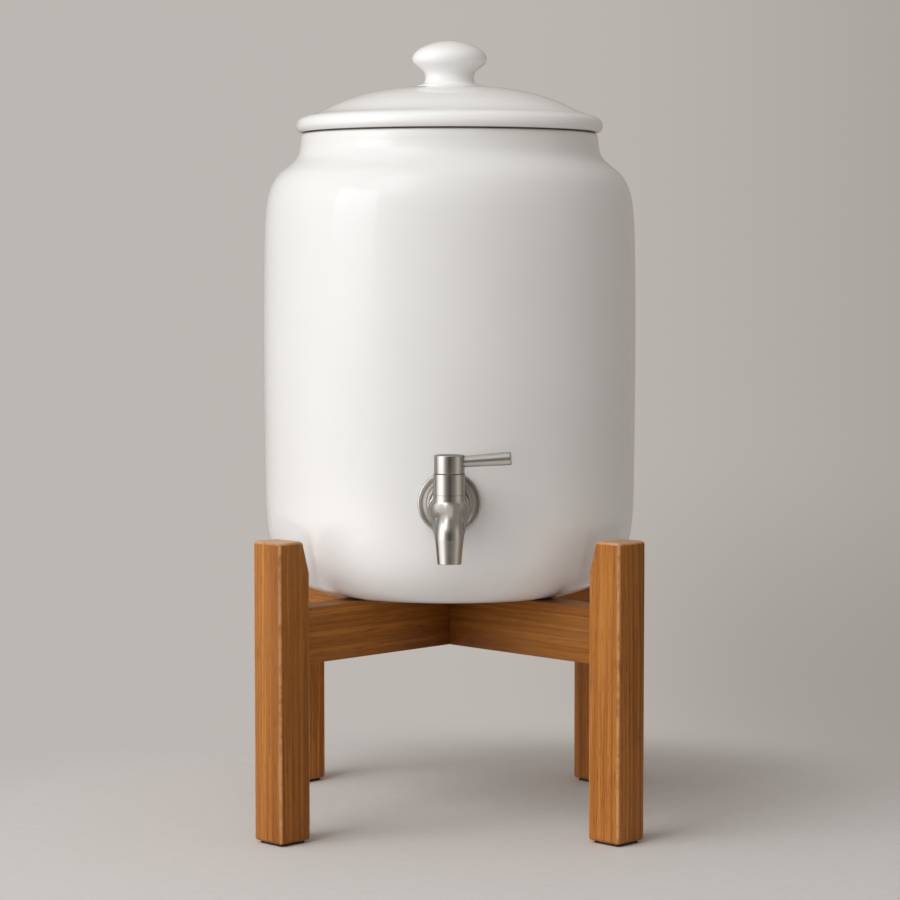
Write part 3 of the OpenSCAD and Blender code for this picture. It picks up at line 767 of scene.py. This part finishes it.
def make_tap():
    step = 0.36
    v, f = net(tap_shape, (-15.0, 123.4, -34.0), (15.0, 174.0, 21.5), step)
    verts = [(x, AXIS_Y - a, TAP_Z + z) for x, a, z in v]
    faces = [tuple(reversed(q)) for q in f]
    tv, tf = thread(95.0, 123.8, 8.0, 0.75, 1.5, 4.0)
    start = len(verts)
    verts += moved(tv, TAP)
    faces += [tuple(start + i for i in q) for q in tf]
    ring = [(10.5, 122.2), (13.1, 122.2), (13.4, 122.5), (13.4, 125.2), (13.0, 125.6), (12.95, 125.66),
            (12.82, 125.66), (12.78, 125.72), (12.78, 126.5), (12.42, 126.9), (12.1, 126.96), (10.5, 126.96), (10.5, 122.2)]
    rv, rf, _ = lathe(ring, 160)
    start = len(verts)
    verts += moved(rv, TAP)
    faces += [tuple(start + i for i in q) for q in rf]
    body = put("tap_casting", verts, faces, M_STEEL_BODY)
    consistent(body)
    finish_shading(body, 40)
    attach(body, "crock")
    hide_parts("tap_body")

    # wall flange: rounded rim, a bead inside it and a shallow dish
    profile = ([(8.0, 121.3), (18.7, 121.3)] + arc(18.7, 121.9, 0.6, 270, 360, 4)
               + [(19.3, 122.6)] + arc(18.0, 122.9, 1.3, 0, 90, 7)
               + [(17.7, 124.12), (17.45, 123.80), (17.2, 123.50), (16.95, 123.36), (16.6, 123.38), (15.6, 123.70),
                  (14.6, 124.04), (13.6, 124.38), (12.0, 124.5), (8.0, 124.5), (8.0, 121.3)])
    fv, ff, _ = lathe(profile, 192)
    flange = put("tap_wall_flange", moved(fv, TAP), ff, M_STEEL_TURNED_Y)
    consistent(flange)
    finish_shading(flange, 40)
    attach(flange, "crock")
    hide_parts("tap_flange")

    # cap of the handle
    r, e = 9.1, 0.5
    profile = ([(3.5, 27.0), (3.5, 20.2), (5.0, 20.2)] + arc(r - 0.2, 20.4, 0.2, 270, 360, 4)
               + arc(r - e, 31 - e, e, 0, 90, 6) + [(7.6, 30.97), (5.0, 30.92), (2.0, 30.9), (0.0, 30.9)])
    cv, cf, _ = lathe([(0.0, 27.0)] + profile, 144)
    cap = put("tap_handle_cap", moved(cv, VALVE), cf, M_STEEL_TURNED_Z)
    consistent(cap)
    # seat of the lever and hole of the fixing screw
    lv, lf, _ = lathe([(0, 7.4), (3.42, 7.4), (3.42, 14), (0, 14)], 64)
    cutter = put("seat", moved(lv, LEVER), lf, M_STEEL_TURNED_Z)
    consistent(cutter)
    sv, sf, _ = lathe([(0, 3.2), (1.55, 3.2), (1.55, 12), (0, 12)], 40)
    cutter2 = put("screw_hole", moved(sv, VALVE @ Matrix.Translation((0, 0, 23.2)) @ Matrix.Rotation(math.radians(-90), 4, "X")), sf, M_STEEL_TURNED_Z)
    consistent(cutter2)
    for c in (cutter, cutter2):
        m = cap.modifiers.new("cut", "BOOLEAN")
        m.operation, m.solver, m.object = "DIFFERENCE", "EXACT", c
    applied(cap)
    bpy.data.objects.remove(cutter)
    bpy.data.objects.remove(cutter2)
    finish_shading(cap, 35)
    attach(cap, "tap_handle")
    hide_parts("handle_cap")

    # lever: a tapered rod with an eased end
    profile = ([(0, 4.6), (2.0, 4.6), (2.0, 7.45), (3.0, 7.45), (3.3, 7.75), (3.31, 9.2)]
               + [(3.31 + 0.64 * s, 9.2 + 26.6 * s) for s in (0.25, 0.5, 0.75)]
               + [(3.93, 35.2)] + arc(3.93 - 0.8, 36.15, 0.8, 10, 90, 6)
               + [(2.4, 36.9), (0.0, 36.85)])
    lv, lf, _ = lathe(profile, 96)
    lever = put("tap_lever_rod", moved(lv, LEVER), lf, M_STEEL_LEVER)
    consistent(lever)
    finish_shading(lever, 40)
    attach(lever, "tap_handle")
    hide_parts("lever")


make_tap()

# ---------------------------------------- finishes of the carried-over nodes


def finish_node(name, material):
    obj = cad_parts[name]
    if not obj.material_slots:
        obj.data.materials.append(material)
    for s in obj.material_slots:
        s.link = "OBJECT"
        s.material = material


for name, material in {
    "leg_dowels": M_DOWEL, "foot_pads": M_RUBBER, "outer_washer": M_SILICONE,
    "inner_washer": M_SILICONE, "steel_washer": M_STEEL_TURNED_Y, "back_nut": M_STEEL_INNER,
    "valve_sleeve": M_RESIN, "gland_nut": M_STEEL_INNER, "valve_stem": M_STEEL_TURNED_Z,
    "stem_o_rings": M_SEAL, "handle_screw": M_STEEL_INNER,
}.items():
    finish_node(name, material)

# ------------------------------------------------------------- the stage

FLOOR_C = Vector((0.0, -0.06))


def make_stage():
    """A round pale floor that sweeps up into a wall. The wall lets the camera through from outside."""
    t = Tree("stage")
    p = t.coords()
    sep = t.add("SeparateXYZ", Vector=p)
    dx = sep.outputs[0]
    dy = t.math("SUBTRACT", sep.outputs[1], FLOOR_C.y)
    r = t.math("SQRT", t.math("ADD", t.math("MULTIPLY", dx, dx), t.math("MULTIPLY", dy, dy)))
    far = t.range(r, 0.30, 0.44)
    grain = t.noise(p, 120, 3, 0.6)
    pale = t.mix(t.range(grain, 0.3, 0.7), (0.715, 0.695, 0.682), (0.735, 0.715, 0.702))
    # painted light: the wall's colour is brighter on the left towards the lamps and darker to the right
    across = t.math("ADD", t.math("MULTIPLY", dx, 0.8), 0.5)
    wall = t.ramp(across, [(0.0, (0.498, 0.470, 0.445)), (0.45, (0.508, 0.478, 0.448)), (0.60, (0.492, 0.462, 0.430)),
                           (0.70, (0.458, 0.428, 0.395)), (0.80, (0.413, 0.385, 0.355)), (1.0, (0.36, 0.335, 0.305))], "B_SPLINE")
    # painted shadow: the foot of the wall is a little darker to the right
    painted_wall_shadow = t.math("MULTIPLY", t.range(sep.outputs[2], 0.20, 0.0), t.range(dx, 0.02, 0.30))
    wall = t.mix(t.math("MULTIPLY", painted_wall_shadow, 0.30), wall, (0.20, 0.185, 0.165))
    floor = t.add("BsdfDiffuse", Color=pale)
    # the wall and the far floor glow with this painted light instead of being lit
    painted_wall_light = t.add("Emission", Color=wall)
    mixed = t.add("MixShader")
    t.links.new(far, mixed.inputs[0])
    t.links.new(floor.outputs[0], mixed.inputs[1])
    t.links.new(painted_wall_light.outputs[0], mixed.inputs[2])
    clear = t.add("BsdfTransparent")
    geo = t.add("NewGeometry")
    both = t.add("MixShader")
    t.links.new(geo.outputs["Backfacing"], both.inputs[0])
    t.links.new(mixed.outputs[0], both.inputs[1])
    t.links.new(clear.outputs[0], both.inputs[2])
    t.links.new(both.outputs[0], t.out.inputs["Surface"])

    flat, bend, top = 550.0, 250.0, 1700.0
    disc = [(0, 0)] + [(flat * k / 12, 0) for k in range(1, 13)]
    wall_p = ([(flat, 0)] + [(flat + bend * math.sin(math.radians(a)), bend * (1 - math.cos(math.radians(a))))
                             for a in range(6, 91, 6)] + [(flat + bend, z) for z in (500, 900, 1300, top)])
    at = Matrix.Translation((FLOOR_C.x / MM, FLOOR_C.y / MM, 0))
    for name, prof in (("stage_floor", disc), ("stage_wall", wall_p)):
        v, f, _ = lathe(prof, 160)
        o = put(name, moved(v, at), f, t.mat)
        # faces look inwards and up
        o.data.flip_normals() if o.data.polygons[len(o.data.polygons) // 2].normal.z < -1e-6 or (
            name == "stage_wall" and o.data.polygons[-1].normal.xy.dot(o.data.polygons[-1].center.xy - FLOOR_C) > 0) else None
        finish_shading(o)
        if name == "stage_wall":
            o.visible_shadow = False
            o.visible_diffuse = False
            o.visible_glossy = False
            o.visible_transmission = False


make_stage()


def area(name, left, dist, width, z0, z1, radiance, tilt=0.0, seen="both", colour=(1, 1, 1)):
    """A soft box: left is its direction in degrees to the left of the camera's side, seen from the pot.
    seen says whether it lights surfaces ("lit"), shows in polished ones ("mirrored"), or both."""
    a = math.radians(left)
    height = z1 - z0
    light = bpy.data.lights.new(name, "AREA")
    light.shape = "RECTANGLE"
    light.size, light.size_y = width, height
    light.energy = radiance * math.pi * width * height
    light.color = colour
    o = bpy.data.objects.new(name, light)
    bpy.context.scene.collection.objects.link(o)
    o.location = (-math.sin(a) * dist, 0.026 - math.cos(a) * dist, (z0 + z1) / 2)
    aim = Vector((0, 0.026, (z0 + z1) / 2 - math.tan(math.radians(tilt)) * dist)) - o.location
    o.rotation_euler = aim.to_track_quat("-Z", "Y").to_euler()
    o.visible_camera = False
    o.visible_diffuse = seen != "mirrored"
    o.visible_glossy = seen != "lit"
    return o


# the tall window on the left, paler towards its foot
cool = (0.90, 0.97, 1.0)
area("band_top", 58.5, 1.25, 0.65, 0.80, 1.06, 1.42, seen="mirrored", colour=cool)
for i in range(7):
    area("band_%d" % i, 58.5, 1.25, 0.65, 0.72 - 0.08 * i, 0.80 - 0.08 * i, 1.50 - 0.20 * i, seen="mirrored", colour=cool)
area("key_left", 50, 1.35, 1.10, 0.95, 1.75, 3.3, tilt=44, seen="lit")
area("key_front", 12, 1.40, 1.10, 1.10, 1.80, 0.7, tilt=48, seen="lit")
area("low_front", 4, 1.50, 0.80, 0.05, 0.60, 1.1, seen="lit")


def foot_light(name, left, z, at, watts, width):
    """A narrow soft lamp for the glaze beside a front leg."""
    a = math.radians(left)
    light = bpy.data.lights.new(name, "SPOT")
    light.energy = watts
    light.spot_size = math.radians(width)
    light.spot_blend = 1.0
    light.shadow_soft_size = 0.06
    o = bpy.data.objects.new(name, light)
    bpy.context.scene.collection.objects.link(o)
    o.location = (-math.sin(a) * 0.85, 0.026 - math.cos(a) * 0.85, z)
    o.rotation_euler = (Vector(at) - o.location).to_track_quat("-Z", "Y").to_euler()
    o.visible_camera = False
    o.visible_glossy = False
    only = bpy.data.collections.new(name + "_lights")
    only.objects.link(bpy.data.objects["glazed_pot"])
    o.light_linking.receiver_collection = only
    return o


foot_light("foot_left", 12, 0.03, (-0.078, -0.052, 0.147), 17.0, 7.0)
foot_light("foot_right", -14, 0.05, (0.072, -0.062, 0.152), 6.5, 6.5)

# a weak light for the glaze's right half alone
fill = area("glaze_fill", -48, 1.40, 1.00, 0.50, 1.30, 0.48, tilt=26, seen="lit")
only = bpy.data.collections.new("glaze_fill_lights")
for piece in ("glazed_pot", "glazed_lid"):
    only.objects.link(bpy.data.objects[piece])
fill.light_linking.receiver_collection = only
# and one for the top of the lid
fill = area("lid_fill", 6, 1.30, 0.90, 1.00, 1.60, 1.4, tilt=42, seen="lit")
only = bpy.data.collections.new("lid_fill_lights")
only.objects.link(bpy.data.objects["glazed_lid"])
fill.light_linking.receiver_collection = only


def make_world():
    w = bpy.data.worlds.new("studio")
    bpy.context.scene.world = w
    w.use_nodes = True
    t = Tree.__new__(Tree)
    t.nodes, t.links = w.node_tree.nodes, w.node_tree.links
    t.nodes.clear()
    out = t.nodes.new("ShaderNodeOutputWorld")
    d = t.coords("Generated")
    sep = t.add("SeparateXYZ", Vector=d)
    # turn from the camera's side: 0 at the front, positive to the right
    turn = t.math("ARCTAN2", sep.outputs[0], t.math("MULTIPLY", sep.outputs[1], -1.0))
    f = t.math("ADD", t.math("MULTIPLY", turn, 1 / (2 * math.pi)), 0.5)
    deg = lambda v: v / 360 + 0.5
    warm = lambda v: (v, v * 0.91, v * 0.82)
    side = t.ramp(f, [(0.0, warm(0.18)), (deg(-125), warm(0.16)), (deg(-110), warm(0.20)),
                      (deg(-97), (0.43, 0.42, 0.41)), (deg(-84), (0.68, 0.67, 0.66)), (deg(-66), (0.74, 0.735, 0.73)),
                      (deg(-52), (0.72, 0.71, 0.70)), (deg(-42), (0.45, 0.435, 0.42)), (deg(-32), warm(0.21)),
                      (deg(-20), warm(0.105)), (deg(-6), warm(0.045)), (deg(6), warm(0.028)), (deg(18), warm(0.065)),
                      (deg(35), warm(0.10)), (deg(50), warm(0.17)), (deg(66), warm(0.29)), (deg(84), warm(0.20)),
                      (deg(104), warm(0.10)), (deg(125), warm(0.12)), (deg(150), warm(0.17)), (1.0, warm(0.18))])
    up = t.range(sep.outputs[2], 0.30, 0.60)
    over = t.ramp(f, [(0.0, warm(0.17)), (deg(-125), warm(0.20)), (deg(-97), (0.33, 0.325, 0.32)), (deg(-60), (0.42, 0.415, 0.41)),
                      (deg(-24), (0.40, 0.395, 0.39)), (deg(-4), (0.20, 0.19, 0.18)), (deg(10), warm(0.115)), (deg(60), warm(0.125)),
                      (deg(90), warm(0.135)), (deg(130), warm(0.15)), (1.0, warm(0.17))])
    col = t.mix(up, side, over)
    low = t.range(sep.outputs[2], -0.30, -0.50)
    col = t.mix(low, col, (0.22, 0.205, 0.19))
    top = t.range(sep.outputs[2], 0.90, 0.985)
    col = t.mix(top, col, (0.30, 0.292, 0.284))
    # a soft box overhead, in front and a little to the left
    box = t.math("MULTIPLY", t.range(sep.outputs[2], 0.40, 0.54), t.range(sep.outputs[2], 0.95, 0.85))
    box = t.math("MULTIPLY", box, t.math("MULTIPLY", t.range(turn, -1.15, -0.95), t.range(turn, -0.36, -0.58)))
    col = t.mix(box, col, (0.85, 0.85, 0.85))
    bg = t.add("Background", Color=col, Strength=2.0)
    t.links.new(bg.outputs[0], out.inputs["Surface"])


make_world()

cam = bpy.data.cameras.new("camera")
cam.lens, cam.sensor_width = 112.0, 36.0
cam_obj = bpy.data.objects.new("camera", cam)
bpy.context.scene.collection.objects.link(cam_obj)
cam_obj.location = (0.0004, -1.784, 0.363)
cam_obj.rotation_euler = (math.radians(90 - 4.03), 0, 0)
bpy.context.scene.camera = cam_obj

bpy.context.scene.view_settings.view_transform = "Standard"
